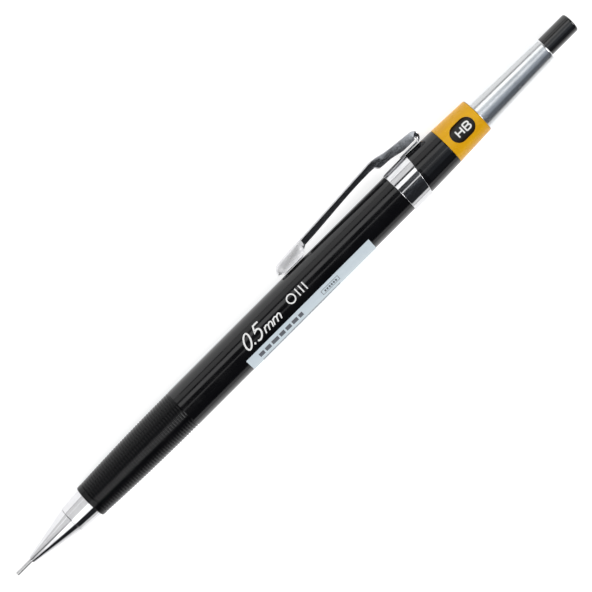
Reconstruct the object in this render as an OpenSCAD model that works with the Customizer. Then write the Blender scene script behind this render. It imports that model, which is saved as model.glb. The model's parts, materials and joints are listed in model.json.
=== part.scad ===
// Mechanical drafting pencil for 0.5 mm leads, lying on a table on its barrel
// and clip. The writing tip is at the origin and the button end points to +X.
// Every piece is drawn upright along Z, with the clip towards +X and the
// printed side towards +Y, and lay_down() turns it into the resting pose.

/* [Lead and pipe] */
// Diameter of the lead
lead_d = 0.5; // [0.3:0.1:0.9]
// Length of a new lead
lead_l = 60; // [40:1:70]
// Wall of the lead pipe
pipe_t = 0.12; // [0.08:0.01:0.2]
// Length of the lead pipe that stands out of the cone
pipe_out = 3.7; // [2:0.1:6]
// Length of the lead pipe that is seated in the cone
pipe_seat = 3.3; // [2:0.1:5]
// How far the pipe's seated shank stands out from the pipe
shank_step = 0.17; // [0.15:0.01:0.2]
// Length of the cone's lip that holds the shank in
pipe_lip = 0.1; // [0.05:0.05:0.3]
// How far the lead lies back inside the pipe's mouth
lead_back = 0.15; // [0:0.05:1]

/* [Nose] */
// Length of the cone
cone_l = 10.7; // [10:0.1:14]
// Diameter of the cone where the pipe comes out
cone_tip_d = 1.44; // [1.3:0.02:2]
// How far the collar stands out from the cone
cone_step = 0.06; // [0:0.01:0.2]
// Length of the collar that shows
collar_l = 4.6; // [3:0.1:8]
// Wall of the collar at the cone
collar_front_t = 0.56; // [0.4:0.02:0.8]
// Wall of the collar at the barrel
collar_rear_t = 0.9; // [0.8:0.02:1.1]
// Wall of the cone's threaded spigot inside the collar
spigot_t = 0.62; // [0.5:0.02:0.7]
// Length of the collar's stem inside the barrel
collar_stem_l = 7; // [5:0.5:10]

/* [Chuck] */
// Length of the chuck, from its jaws to the end of its stem
chuck_l = 17.4; // [16:0.1:20]
// Distance from the cone's base forward to the front of the jaws
chuck_front = 1.8; // [1.5:0.1:2.4]
// Diameter of the jaws
jaw_d = 2.6; // [2.2:0.1:3.1]
// Diameter of the chuck's slender neck
neck_d = 1.7; // [1.4:0.1:2]
// Diameter of the chuck's stem
stem_d = 2.4; // [2.2:0.1:2.5]
// Width of the slits between the jaws
slit_w = 0.12; // [0.08:0.02:0.2]
// Wall of the chuck ring round the jaws
chuck_ring_t = 0.25; // [0.2:0.01:0.3]
// Length of the chuck ring
chuck_ring_l = 2.2; // [1.8:0.1:2.4]
// How far the button travels, which the chuck's stem leaves room for
press_travel = 3; // [2:0.1:3.2]
// How far the chuck ring travels with it
ring_travel = 0.66; // [0.4:0.02:0.8]

/* [Spring and lead tube] */
// Length of the return spring at rest
spring_l = 8.3; // [7:0.1:10]
// Gap between the spring's coils and the collar round them
spring_gap = 0.33; // [0.2:0.01:0.4]
// Diameter of the spring's wire
wire_d = 0.34; // [0.2:0.02:0.4]
// Number of turns in the spring
spring_turns = 9; // [6:1:11]
// Diameter of the joint that carries the chuck and the lead tube
joint_d = 4.2; // [3.8:0.1:4.3]
// Outside diameter of the lead tube
tube_d = 3.2; // [2.6:0.1:3.9]
// Wall of the lead tube
tube_t = 0.35; // [0.25:0.01:0.5]
// Number of spare leads
spare_count = 3; // [1:1:4]

/* [Barrel] */
// Diameter of the plain barrel
barrel_d = 8.3; // [7.6:0.1:11]
// Length of the plain barrel, from the grip to the end of the clip's band
barrel_l = 62.2; // [52:0.1:90]
// Length of the tapered stretch behind the clip's band
taper_l = 6.5; // [6:0.1:10]
// Diameter of the barrel where it meets the lead-grade ring
barrel_rear_d = 8; // [7.6:0.1:9]
// Diameter of the barrel's bore
barrel_bore_d = 5.2; // [4.6:0.1:5.4]
// Length of the ribbed grip
grip_l = 24.5; // [15:0.1:40]
// How far the grip's front stands out from the collar
grip_step = 0.35; // [0.2:0.01:0.6]
// Length of the plain lip in front of the ribs
grip_lip = 1.1; // [0.6:0.1:2]
// Distance from rib to rib
rib_pitch = 0.58; // [0.5:0.01:1.2]
// Depth of the grooves between the ribs
rib_depth = 0.12; // [0.05:0.01:0.2]
// Length of the engraved frame behind the grip
frame_l = 11.2; // [6:0.1:13]
// Width of the engraved frame round the barrel, in degrees
frame_angle = 62; // [30:1:80]
// Width of the frame's line
frame_line = 0.2; // [0.1:0.05:0.4]
// Depth of the frame's line
frame_depth = 0.08; // [0.04:0.01:0.2]

/* [Label] */
// Length of the paper label
label_l = 31.8; // [15:0.1:33]
// Width of the paper label round the barrel, in degrees
label_angle = 130; // [60:1:150]
// Distance from the grip to the label
label_gap = 14.5; // [13.5:0.1:20]
// Thickness of the paper
label_t = 0.08; // [0.04:0.01:0.12]

/* [Clip] */
// Thickness of the clip's band
band_t = 0.3; // [0.2:0.05:0.5]
// Length of the band on the clip's side
band_l = 5.7; // [4:0.1:8]
// How much shorter the band is on its far side
band_slant = 1.3; // [0:0.1:2]
// Thickness of the clip's sheet
sheet_t = 0.38; // [0.3:0.02:0.5]
// Distance from the band's rear edge to the middle of the bend
bend_back = 3.3; // [3:0.1:5]
// Outside radius of the bend
bend_r = 1.25; // [1.1:0.05:1.6]
// Length of the clip from the middle of the bend to the front of the pad
clip_l = 35.6; // [28:0.1:45]
// Height of the clip's arch above the barrel
arch_h = 3.95; // [3.4:0.05:5]
// Width of the clip at the arch
arch_w = 4.1; // [3.4:0.1:5]
// Width of the arm just behind the pad
arm_w = 2.4; // [1.8:0.1:3]
// Width of the pad
pad_w = 3.3; // [2.6:0.1:4]
// Length of the pad
pad_l = 7.1; // [5:0.1:9]
// Height of the pad's top above the barrel
pad_h = 2.85; // [2.4:0.05:3.4]
// Gap between the pad and the barrel
pad_gap = 0.13; // [0.08:0.01:0.4]
// Depth of the arm's folded sides
arm_depth = 1.1; // [0.8:0.05:1.4]
// Depth of the folded sides at the arch
arch_depth = 1.9; // [1.5:0.05:2.2]

/* [Lead-grade ring] */
// Length of the ring
ring_l = 8.2; // [7:0.1:12]
// Wall of the ring at the barrel
ring_front_t = 0.63; // [0.5:0.01:0.8]
// Wall of the ring at the sleeve
ring_rear_t = 0.33; // [0.25:0.01:0.5]
// Wall of the printed drum under the ring
drum_t = 0.7; // [0.4:0.05:0.8]
// Length of the ring's window
window_l = 5.4; // [4:0.1:6]
// Width of the ring's window
window_w = 3.5; // [2.5:0.1:4]

/* [Sleeve and button] */
// Length of the rear sleeve
sleeve_l = 17.7; // [15:0.1:25]
// How far the ring stands out from the sleeve
sleeve_step = 0.03; // [0:0.01:0.1]
// Wall of the sleeve at the button
sleeve_rear_t = 0.85; // [0.75:0.01:1.1]
// Radius of the sleeve's rounded end
sleeve_round = 0.7; // [0.4:0.05:0.75]
// Length of the neck inside the sleeve
neck_in_sleeve = 5.6; // [4:0.1:7]
// Wall of the button
button_t = 0.36; // [0.3:0.01:0.5]
// Length of the button that shows
button_out = 6.9; // [5:0.1:10]
// Length of the button inside the sleeve
button_in = 8.1; // [5:0.1:8.2]
// Radius of the button's rounded edge
button_round = 0.45; // [0.2:0.05:0.8]
// Thickness of the button's end wall
button_end = 1.4; // [0.8:0.1:2]

/* [Eraser] */
// Length of the eraser
eraser_l = 16.3; // [12:0.1:16.4]
// Thickness of the eraser cup's wall
cup_t = 0.12; // [0.1:0.01:0.15]
// Length of the eraser that stands out of its cup
eraser_out = 3.8; // [2:0.1:4]
// Diameter of the clean-out pin
pin_d = 0.4; // [0.3:0.05:0.45]
// Length of the clean-out pin
pin_l = 14; // [8:0.5:20]

/* [Clearances] */
// Radial clearance of a piece that slides or turns in another
run_gap = 0.04; // [0.02:0.01:0.08]
// Radial clearance round the lead where it is held
lead_gap = 0.02; // [0.01:0.01:0.04]
// Radial clearance round the pipe and its bush, which the cone turns about
seat_gap = 0.02; // [0.01:0.01:0.04]
// Gap between the end faces of neighbouring pieces that move apart
face_gap = 0.05; // [0.02:0.01:0.2]
// Radial clearance round pieces that only pass through
free_gap = 0.12; // [0.1:0.01:0.2]

/* [Hidden] */
$fn = 64;
cut = 0.01;

// Stations along the axis, from the tip of the pipe to the end of the button
cone_z = pipe_out;
collar_z = cone_z + cone_l;
grip_z = collar_z + collar_l;
plain_z = grip_z + grip_l;
taper_z = plain_z + barrel_l;
ring_z = taper_z + taper_l;
sleeve_z = ring_z + ring_l;
button_z = sleeve_z + sleeve_l;
end_z = button_z + button_out;

// The nose's inside, from the pipe's seat to the ring's pocket
pipe_bore_d = lead_d + 2 * run_gap;
pipe_d = pipe_bore_d + 2 * pipe_t;
shank_d = pipe_d + 2 * shank_step;
shank_z = cone_z + pipe_lip;
retainer_z = cone_z + pipe_seat;
retainer_l = 2.2;
retainer_t = 0.6;
retainer_d = lead_d + 2 * lead_gap + 2 * retainer_t;
chamber_gap = 0.2;
chamber_z = retainer_z + retainer_l + chamber_gap;
chamber_d = jaw_d + 2 * free_gap;
chuck_ring_d = jaw_d + 2 * chuck_ring_t;
pocket_d = chuck_ring_d + 2 * run_gap;
pocket_chamfer = 0.3;
spigot_l = 3.2;
spigot_z = collar_z + spigot_l;
spigot_d = pocket_d + 2 * spigot_t;
thread_pitch = 0.5;
thread_depth = 0.12;
thread_relief = 0.5;
thread_start = 0.7;

// The collar round the spigot, and the cone that ends flush with it
collar_bore_d = spigot_d + 2 * run_gap;
collar_front_d = collar_bore_d + 2 * collar_front_t;
collar_rear_d = collar_bore_d + 2 * collar_rear_t;
cone_base_d = collar_front_d - 2 * cone_step;

// The chuck, and the ring that closes its jaws
jaw_z = collar_z - chuck_front;
jaw_l = 1.2;
wedge_l = 1.8;
wedge_z = jaw_z + jaw_l;
neck_z = wedge_z + wedge_l;
chuck_end_z = jaw_z + chuck_l;
jaw_bore_d = lead_d + 2 * lead_gap;
chuck_bore_d = 0.9;
ring_back = 0.2;
chuck_ring_z = wedge_z + ring_back;
ring_stop_z = chuck_ring_z + chuck_ring_l + face_gap;
pocket_z = chuck_ring_z - ring_travel - face_gap;
wedge_slope = (jaw_d - neck_d) / 2 / wedge_l;
ring_mouth_d = jaw_d - 2 * wedge_slope * ring_back + 2 * run_gap;
ring_ease = 0.05;
ring_bore_d = neck_d + 2 * run_gap + 2 * ring_ease;

// The housing that stops the ring and seats the spring, clear of the stem
housing_bore_d = neck_d + 4 * free_gap;
housing_nose_d = pocket_d - 2 * run_gap;
flange_z = spigot_z + face_gap;
flange_l = 1;
spring_seat_z = flange_z + flange_l;
guide_l = 1.4;
guide_end_z = spring_seat_z + guide_l;
guide_t = 0.25;
guide_d = housing_bore_d + 2 * guide_t;
stem_gap = 0.45;
stem_z = guide_end_z + press_travel + stem_gap;
slit_end = 0.5;
slit_l = stem_z - jaw_z - slit_end;
spring_d = collar_bore_d - 2 * spring_gap - wire_d;

// The joint and the lead tube behind the spring
joint_z = spring_seat_z + spring_l;
joint_l = 4;
joint_bore_d = 1;
tube_z = joint_z + joint_l;
tube_out = 0.4;
tube_end_z = button_z + tube_out;
tube_bore_d = tube_d - 2 * tube_t;
spare_back = 4;
spare_z = lead_back + lead_l + spare_back;
spare_r = (tube_bore_d - lead_d) / 2 - lead_gap;
spare_step = 2 * asin((lead_d / 2 + lead_gap) / spare_r);

// The barrel's inside
barrel_r = barrel_d / 2;
grip_front_d = collar_rear_d + 2 * grip_step;
stem_shoulder = 0.25;
stem_seat_d = collar_rear_d - 2 * stem_shoulder;
neck_bore_d = tube_d + 2 * run_gap + free_gap;
neck_wall_l = 2.2;
neck_end_z = sleeve_z + neck_in_sleeve;
rib_count = floor((grip_l - grip_lip) / rib_pitch);
rib_z = grip_z + grip_l - rib_count * rib_pitch;
rib_flat = 0.5;
lip_round = 0.35;
frame_gap = 1.6;
frame_z = plain_z + frame_gap;
frame_turn = 86;
label_z = plain_z + label_gap;
label_turn = 119;

// The clip, from its band to its pad
band_r = barrel_r + band_t;
band_z = taper_z - band_l;
bend_z = taper_z + bend_back;
tongue_gap = 0.03;
tongue_w = 2.6;
tongue_root = 1;
bend_x = barrel_r + tongue_gap + bend_r;
bend_cut = 83;
arch_lead = 0.2;
arch_z = band_z - arch_lead;
arch_step = 0.35;
arch_step_z = band_z + arch_step;
pad_z = bend_z - clip_l;
arm_z = pad_z + pad_l;
arch_x = barrel_r + arch_h;
pad_x = barrel_r + pad_h;
pad_low_x = barrel_r + pad_gap;
flange_drop = 0.48;
flange_low_x = bend_x - flange_drop;

// The lead-grade ring and the sleeve
ring_step = 0.02;
ring_front_d = barrel_rear_d - 2 * ring_step;
ring_bore = ring_front_d - 2 * ring_front_t;
ring_rear_d = ring_bore + 2 * ring_rear_t;
drum_ease = 0.01;
drum_d = ring_bore - 2 * run_gap - 2 * drum_ease;
neck_tube_d = drum_d - 2 * drum_t;
sleeve_front_d = ring_rear_d - 2 * sleeve_step;
button_bore_d = tube_d + 2 * run_gap;
button_d = button_bore_d + 2 * button_t;
mouth_ease = 0.03;
mouth_d = button_d + 2 * run_gap + 2 * mouth_ease;
mouth_l = 4;
mouth_step = 0.25;
sleeve_bore_d = mouth_d + 2 * mouth_step;
sleeve_rear_d = mouth_d + 2 * sleeve_rear_t;

// The eraser in its cup, and the clean-out pin
cup_d = tube_bore_d - 2 * run_gap;
cup_bore_d = cup_d - 2 * cup_t;
cup_flange_z = tube_end_z + face_gap;
cup_flange_l = 0.4;
eraser_end_z = cup_flange_z + cup_flange_l + eraser_out;
eraser_z = eraser_end_z - eraser_l;
pin_head_l = 0.3;
pin_head_gap = 0.1;
cup_floor_l = 0.25;
cup_z = eraser_z - pin_head_l - cup_floor_l;

// The pencil rolls until the clip's arch and the band both touch the table
rest_roll = asin(band_r / norm([arch_x, arch_w / 2])) - atan(arch_w / 2 / arch_x);

// Points of an arc about [cx, cy] from angle a0 to angle a1
function arc(cx, cy, r, a0, a1, n = 8) =
    [for (i = [0:n]) let (a = a0 + (a1 - a0) * i / n) [cx + r * cos(a), cy + r * sin(a)]];

// Points of a screw thread's outline as [radius, station], from z0 to z1
function thread(d, z0, z1) = let (turns = floor((z1 - z0) / thread_pitch))
    [for (i = [0:turns - 1], p = [[0, 0], [thread_depth, 0.5]])
        [d / 2 - p[0], z0 + (i + p[1]) * thread_pitch]];

// Radius of the grip's crests at station z, a parabola that ends flush
function grip_r(z) = barrel_r - (barrel_d - grip_front_d) / 2 * pow(1 - (z - grip_z) / grip_l, 2);

// Radius of the bare cone at station z
function cone_r(z) = (cone_tip_d + (cone_base_d - cone_tip_d) * (z - cone_z) / cone_l) / 2;

module lay_down() {
    rotate([90 - rest_roll, 0, 0])
        rotate([0, 90, 0])
            children();
}

module turned(outline) {
    rotate_extrude()
        polygon(outline);
}

// A plain tube from z0 to z1
module tube(d, bore, z0, z1) {
    turned([[bore / 2, z0], [d / 2, z0], [d / 2, z1], [bore / 2, z1]]);
}

// Extrudes an outline of [station, height] points across the clip's width
module across(width) {
    rotate([0, -90, -90])
        translate([0, 0, -width / 2])
            linear_extrude(width)
                children();
}

// Extrudes a plan of [station, half width] points up from the axis
module upright() {
    translate([2 * arch_x, 0, 0])
        rotate([0, -90, 0])
            linear_extrude(2 * arch_x)
                children();
}

module lead_pipe() {
    mouth = 0.06;
    color("silver")
        lay_down()
            turned([
                [pipe_bore_d / 2, 0],
                [pipe_d / 2 - mouth, 0],
                [pipe_d / 2, mouth],
                [pipe_d / 2, shank_z],
                [shank_d / 2, shank_z],
                [shank_d / 2, retainer_z],
                [pipe_bore_d / 2, retainer_z]
            ]);
}

module nose_cone() {
    edge = 0.08;
    color("gainsboro")
        lay_down()
            turned(concat(
                [
                    [pipe_d / 2 + seat_gap, cone_z],
                    [cone_tip_d / 2 - edge, cone_z],
                    [cone_tip_d / 2, cone_z + edge],
                    [cone_base_d / 2, collar_z - edge],
                    [cone_base_d / 2 - edge, collar_z],
                    [spigot_d / 2 - thread_depth, collar_z],
                    [spigot_d / 2 - thread_depth, collar_z + thread_relief]
                ],
                thread(spigot_d, collar_z + thread_start, spigot_z),
                [
                    [pocket_d / 2 + pocket_chamfer, spigot_z],
                    [pocket_d / 2, spigot_z],
                    [pocket_d / 2, pocket_z],
                    [chamber_d / 2, pocket_z],
                    [chamber_d / 2, chamber_z],
                    [retainer_d / 2 + seat_gap, chamber_z],
                    [retainer_d / 2 + seat_gap, retainer_z],
                    [shank_d / 2 + seat_gap, retainer_z],
                    [shank_d / 2 + seat_gap, shank_z],
                    [pipe_d / 2 + seat_gap, shank_z]
                ]
            ));
}

module lead_retainer() {
    waist = 0.15;
    color("dimgray")
        lay_down()
            turned([
                [lead_d / 2 + lead_gap, retainer_z],
                [retainer_d / 2, retainer_z],
                [retainer_d / 2, retainer_z + retainer_l / 3],
                [retainer_d / 2 - waist, retainer_z + retainer_l / 2],
                [retainer_d / 2, retainer_z + retainer_l * 2 / 3],
                [retainer_d / 2, retainer_z + retainer_l],
                [lead_d / 2 + 3 * lead_gap, retainer_z + retainer_l],
                [lead_d / 2 + lead_gap, retainer_z + retainer_l / 2]
            ]);
}

module nose_collar() {
    edge = 0.06;
    color("lightgray")
        lay_down()
            turned(concat(
                [
                    [collar_bore_d / 2, collar_z + face_gap],
                    [collar_front_d / 2 - edge, collar_z + face_gap],
                    [collar_front_d / 2, collar_z + face_gap + edge],
                    [collar_rear_d / 2, grip_z],
                    [stem_seat_d / 2 - thread_depth, grip_z]
                ],
                thread(stem_seat_d, grip_z + thread_start, grip_z + collar_stem_l),
                [
                    [stem_seat_d / 2 - thread_depth, grip_z + collar_stem_l],
                    [collar_bore_d / 2, grip_z + collar_stem_l]
                ]
            ));
}

module chuck_ring() {
    mouth_end = chuck_ring_z + (ring_mouth_d - ring_bore_d) / 2 / wedge_slope;
    edge = 0.15;
    color("goldenrod")
        lay_down()
            turned([
                [ring_mouth_d / 2, chuck_ring_z],
                [chuck_ring_d / 2 - edge, chuck_ring_z],
                [chuck_ring_d / 2, chuck_ring_z + edge],
                [chuck_ring_d / 2, chuck_ring_z + chuck_ring_l - edge],
                [chuck_ring_d / 2 - edge, chuck_ring_z + chuck_ring_l],
                [ring_bore_d / 2, chuck_ring_z + chuck_ring_l],
                [ring_bore_d / 2, mouth_end]
            ]);
}

module chuck() {
    edge = 0.2;
    jaws = 3;
    first_slit = 30;
    color("darkgoldenrod")
        lay_down()
            difference() {
                turned([
                    [jaw_bore_d / 2, jaw_z],
                    [jaw_d / 2 - edge, jaw_z],
                    [jaw_d / 2, jaw_z + edge],
                    [jaw_d / 2, wedge_z],
                    [neck_d / 2, neck_z],
                    [neck_d / 2, stem_z],
                    [stem_d / 2, stem_z + edge],
                    [stem_d / 2, chuck_end_z],
                    [chuck_bore_d / 2, chuck_end_z],
                    [chuck_bore_d / 2, neck_z],
                    [jaw_bore_d / 2, neck_z - edge]
                ]);
                for (i = [0:jaws - 1])
                    rotate([0, 0, i * 360 / jaws + first_slit])
                        translate([0, -slit_w / 2, jaw_z - cut])
                            cube([jaw_d, slit_w, slit_l + cut]);
            }
}

module chuck_housing() {
    color("peru")
        lay_down()
            turned([
                [housing_bore_d / 2, ring_stop_z],
                [housing_nose_d / 2, ring_stop_z],
                [housing_nose_d / 2, flange_z],
                [collar_bore_d / 2, flange_z],
                [collar_bore_d / 2, spring_seat_z],
                [guide_d / 2, spring_seat_z],
                [guide_d / 2, guide_end_z],
                [housing_bore_d / 2, guide_end_z]
            ]);
}

// Station of the wire's middle after a number of turns, with one closed turn
// at each end
function coil_z(turn) =
    let (
        closed = wire_d + 3 * cut,
        open = (spring_l - wire_d - 2 * closed - 2 * cut) / (spring_turns - 2),
        opened = min(max(turn - 1, 0), spring_turns - 2)
    )
    spring_seat_z + wire_d / 2 + cut + opened * open + (turn - opened) * closed;

module return_spring() {
    steps = 14;
    sides = 6;
    rings = spring_turns * steps;
    wire = [for (i = [0:rings], k = [0:sides - 1])
        let (
            turn = i * 360 / steps,
            side = k * 360 / sides,
            r = spring_d / 2 + wire_d / 2 * cos(side)
        )
        [r * cos(turn), r * sin(turn), coil_z(i / steps) + wire_d / 2 * sin(side)]];
    skin = [for (i = [0:rings - 1], k = [0:sides - 1], half = [0, 1])
        let (
            a = i * sides + k,
            b = i * sides + (k + 1) % sides
        )
        half == 0 ? [a, b, a + sides] : [b, b + sides, a + sides]];
    front = [[for (k = [sides - 1:-1:0]) k]];
    back = [[for (k = [0:sides - 1]) rings * sides + k]];
    color("gray")
        lay_down()
            polyhedron(points = wire, faces = concat(skin, front, back));
}

module tube_joint() {
    edge = 0.2;
    plug_l = 4;
    plug_d = tube_bore_d;
    color("black")
        lay_down()
            turned([
                [stem_d / 2, joint_z],
                [joint_d / 2 - edge, joint_z],
                [joint_d / 2, joint_z + edge],
                [joint_d / 2, tube_z],
                [plug_d / 2, tube_z],
                [plug_d / 2, tube_z + plug_l],
                [joint_bore_d / 2, tube_z + plug_l],
                [joint_bore_d / 2, chuck_end_z],
                [stem_d / 2, chuck_end_z]
            ]);
}

module lead_tube() {
    color("whitesmoke")
        lay_down()
            tube(tube_d, tube_bore_d, tube_z, tube_end_z);
}

module writing_lead() {
    color("darkslategray")
        lay_down()
            translate([0, 0, lead_back])
                cylinder(h = lead_l, d = lead_d);
}

module spare_leads() {
    color("darkslategray")
        lay_down()
            for (i = [0:spare_count - 1])
                rotate([0, 0, 270 + (i - (spare_count - 1) / 2) * spare_step])
                    translate([spare_r, 0, spare_z])
                        cylinder(h = lead_l, d = lead_d);
}

// A block curved round the barrel, centred on the engraved frame
module curved_block(angle, length, low_r, high_r) {
    rotate([0, 0, frame_turn - angle / 2])
        rotate_extrude(angle = angle)
            translate([low_r, frame_z + (frame_l - length) / 2])
                square([high_r - low_r, length]);
}

// The engraved frame's line, standing a little out of the barrel
module engraved_frame() {
    line_angle = 2 * asin(frame_line / barrel_r);
    difference() {
        curved_block(frame_angle, frame_l, barrel_r - frame_depth, barrel_d);
        curved_block(frame_angle - line_angle, frame_l - 2 * frame_line, barrel_r / 2, 2 * barrel_d);
    }
}

module barrel() {
    lip_z = rib_z - rib_pitch * (1 - rib_flat);
    ribs = [for (i = [0:rib_count - 1])
        let (z = rib_z + i * rib_pitch)
        each [
            [grip_r(z), z],
            [grip_r(z), z + rib_pitch * rib_flat],
            [grip_r(z) - rib_depth, z + rib_pitch * (1 + rib_flat) / 2]
        ]];
    color([0.08, 0.08, 0.09])
        lay_down()
            difference() {
                turned(concat(
                    [[stem_seat_d / 2, grip_z]],
                    arc(grip_r(grip_z) - lip_round, grip_z + lip_round, lip_round, -90, 0, 5),
                    [[grip_r(lip_z), lip_z], [grip_r(lip_z) - rib_depth, (lip_z + rib_z) / 2]],
                    ribs,
                    [
                        [barrel_r, plain_z],
                        [barrel_r, taper_z],
                        [barrel_rear_d / 2, ring_z],
                        [neck_tube_d / 2, ring_z],
                        [neck_tube_d / 2, neck_end_z],
                        [neck_bore_d / 2, neck_end_z],
                        [neck_bore_d / 2, ring_z - neck_wall_l],
                        [barrel_bore_d / 2, ring_z - neck_wall_l],
                        [barrel_bore_d / 2, grip_z + collar_stem_l],
                        [stem_seat_d / 2, grip_z + collar_stem_l]
                    ]
                ));
                engraved_frame();
            }
}

module paper_label() {
    color("lightsteelblue")
        lay_down()
            rotate([0, 0, label_turn])
                rotate_extrude(angle = label_angle)
                    translate([barrel_r, label_z])
                        square([label_t, label_l]);
}

module clip_band() {
    slant = atan(band_slant / (2 * band_r));
    color("silver")
        lay_down() {
            difference() {
                tube(2 * band_r, barrel_d, band_z, taper_z);
                translate([band_r, 0, taper_z])
                    rotate([0, -slant, 0])
                        translate([-3 * band_r, -2 * band_r, 0])
                            cube([4 * band_r, 4 * band_r, band_l]);
            }
            translate([bend_x - bend_r, -tongue_w / 2, taper_z - tongue_root])
                cube([sheet_t, tongue_w, bend_z - taper_z + tongue_root]);
        }
}

// The clip's top line as [station, height] points, from the pad to the bend
function clip_top() = [
    [pad_z, pad_x - 1.3],
    [pad_z + 0.35, pad_x - 0.7],
    [pad_z + 1.2, pad_x - 0.35],
    [pad_z + 3, pad_x - 0.2],
    [arm_z, pad_x],
    [arch_z - 1, arch_x - 0.06],
    [arch_z, arch_x],
    [arch_z + 1.2, arch_x - 0.22],
    [band_z + 3.6, arch_x - 0.8],
    [taper_z + 0.4, bend_x + bend_r + 0.25]
];

// The lower edge of the clip's folded sides, from the bend back to the pad
function clip_low() = [
    [bend_z + bend_r, bend_x - 0.2],
    [bend_z + 0.4, flange_low_x],
    [taper_z + 1.2, flange_low_x],
    [band_z + 3.4, arch_x - arch_depth - 0.65],
    [arch_step_z + 0.3, arch_x - arch_depth - 0.3],
    [arch_step_z - 0.4, arch_x - arm_depth - 0.1],
    [arch_z - 1, arch_x - arm_depth - 0.05],
    [arm_z + 0.4, pad_x - arm_depth]
];

module clip_side() {
    polygon(concat(
        clip_top(),
        arc(bend_z, bend_x, bend_r, 90, 0),
        clip_low(),
        [
            [arm_z - 0.9, pad_low_x + 0.35],
            [arm_z - 1.7, pad_low_x],
            [pad_z + 1.4, pad_low_x],
            [pad_z + 0.5, pad_low_x + 0.4],
            [pad_z, pad_x - 1.9]
        ]
    ));
}

// The hollow under the clip's sheet, open at the bottom
module clip_hollow_side() {
    inner_r = bend_r - sheet_t;
    polygon(concat(
        [[arm_z + sheet_t, 0], [arm_z + sheet_t, pad_x - sheet_t]],
        [for (p = clip_top()) if (p[0] > arm_z) [p[0], p[1] - sheet_t]],
        arc(bend_z, bend_x, inner_r, 90, 0),
        [[bend_z + inner_r, 0]]
    ));
}

// Half the clip's width at each station, less an inset
function clip_plan(inset) = [
    [pad_z, pad_w * 0.22 - inset],
    [pad_z + 0.5, pad_w * 0.38 - inset],
    [pad_z + 1.6, pad_w / 2 - inset],
    [arm_z - 2, pad_w / 2 - inset],
    [arm_z, arm_w / 2 - inset],
    [arch_z - 1, arch_w / 2 - inset],
    [bend_z + bend_r * 0.6, arch_w / 2 - inset],
    [bend_z + bend_r, arch_w / 2 - 0.4 - inset]
];

module clip_outline(inset) {
    side = clip_plan(inset);
    last = len(side) - 1;
    polygon(concat(side, [for (i = [last:-1:0]) [side[i][0], -side[i][1]]]));
}

module clip_arm() {
    color("silver")
        lay_down() {
            difference() {
                intersection() {
                    across(2 * arch_w)
                        clip_side();
                    upright()
                        clip_outline(0);
                }
                intersection() {
                    across(2 * arch_w)
                        clip_hollow_side();
                    upright()
                        clip_outline(sheet_t);
                }
            }
            across(tongue_w)
                polygon(concat(
                    arc(bend_z, bend_x, bend_r, 0, -bend_cut),
                    arc(bend_z, bend_x, bend_r - sheet_t, -bend_cut, 0)
                ));
        }
}

module grade_drum() {
    color([0.1, 0.1, 0.1])
        lay_down()
            tube(drum_d, neck_tube_d, ring_z + 2 * face_gap, sleeve_z - 2 * face_gap);
}

module grade_ring() {
    color("orange")
        lay_down()
            difference() {
                turned([
                    [ring_bore / 2, ring_z + face_gap],
                    [ring_front_d / 2, ring_z + face_gap],
                    [ring_rear_d / 2, sleeve_z - face_gap],
                    [ring_bore / 2, sleeve_z - face_gap]
                ]);
                translate([0, 0, (ring_z + sleeve_z) / 2])
                    rotate([-90, 0, 0])
                        window();
            }
}

// The window's cutter, a slot with round ends
module window() {
    half = (window_l - window_w) / 2;
    for (side = [-1, 1])
        translate([0, side * half, 0])
            cylinder(h = barrel_d, d = window_w);
    translate([-window_w / 2, -half, 0])
        cube([window_w, 2 * half, barrel_d]);
}

module rear_sleeve() {
    round_r = min(sleeve_round, sleeve_rear_t - cut);
    color("gainsboro")
        lay_down()
            turned(concat(
                [[neck_tube_d / 2, sleeve_z], [sleeve_front_d / 2, sleeve_z]],
                arc(sleeve_rear_d / 2 - round_r, button_z - round_r, round_r, 0, 90),
                [
                    [mouth_d / 2, button_z],
                    [mouth_d / 2, button_z - mouth_l],
                    [sleeve_bore_d / 2, button_z - mouth_l],
                    [sleeve_bore_d / 2, neck_end_z],
                    [neck_tube_d / 2, neck_end_z]
                ]
            ));
}

module push_button() {
    shoulder_z = end_z - button_round;
    color([0.1, 0.1, 0.1])
        lay_down()
            turned(concat(
                [[button_bore_d / 2, button_z - button_in], [button_d / 2, button_z - button_in]],
                arc(button_d / 2 - button_round, shoulder_z, button_round, 0, 90, 6),
                [[0, end_z], [0, end_z - button_end], [button_bore_d / 2, end_z - button_end]]
            ));
}

module eraser() {
    edge = 0.2;
    color("white")
        lay_down()
            turned([
                [0, eraser_z],
                [cup_bore_d / 2, eraser_z],
                [cup_bore_d / 2, eraser_end_z - edge],
                [cup_bore_d / 2 - edge, eraser_end_z],
                [0, eraser_end_z]
            ]);
}

module eraser_cup() {
    color("silver")
        lay_down()
            turned([
                [pin_d / 2, cup_z],
                [cup_d / 2, cup_z],
                [cup_d / 2, cup_flange_z],
                [tube_d / 2, cup_flange_z],
                [tube_d / 2, cup_flange_z + cup_flange_l],
                [cup_bore_d / 2, cup_flange_z + cup_flange_l],
                [cup_bore_d / 2, cup_z + cup_floor_l],
                [pin_d / 2, cup_z + cup_floor_l]
            ]);
}

module clean_out_pin() {
    head_z = cup_z + cup_floor_l;
    color("silver")
        lay_down()
            turned([
                [0, head_z - pin_l],
                [pin_d / 2, head_z - pin_l],
                [pin_d / 2, head_z],
                [cup_bore_d / 2 - pin_head_gap, head_z],
                [cup_bore_d / 2 - pin_head_gap, head_z + pin_head_l],
                [0, head_z + pin_head_l]
            ]);
}

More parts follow.
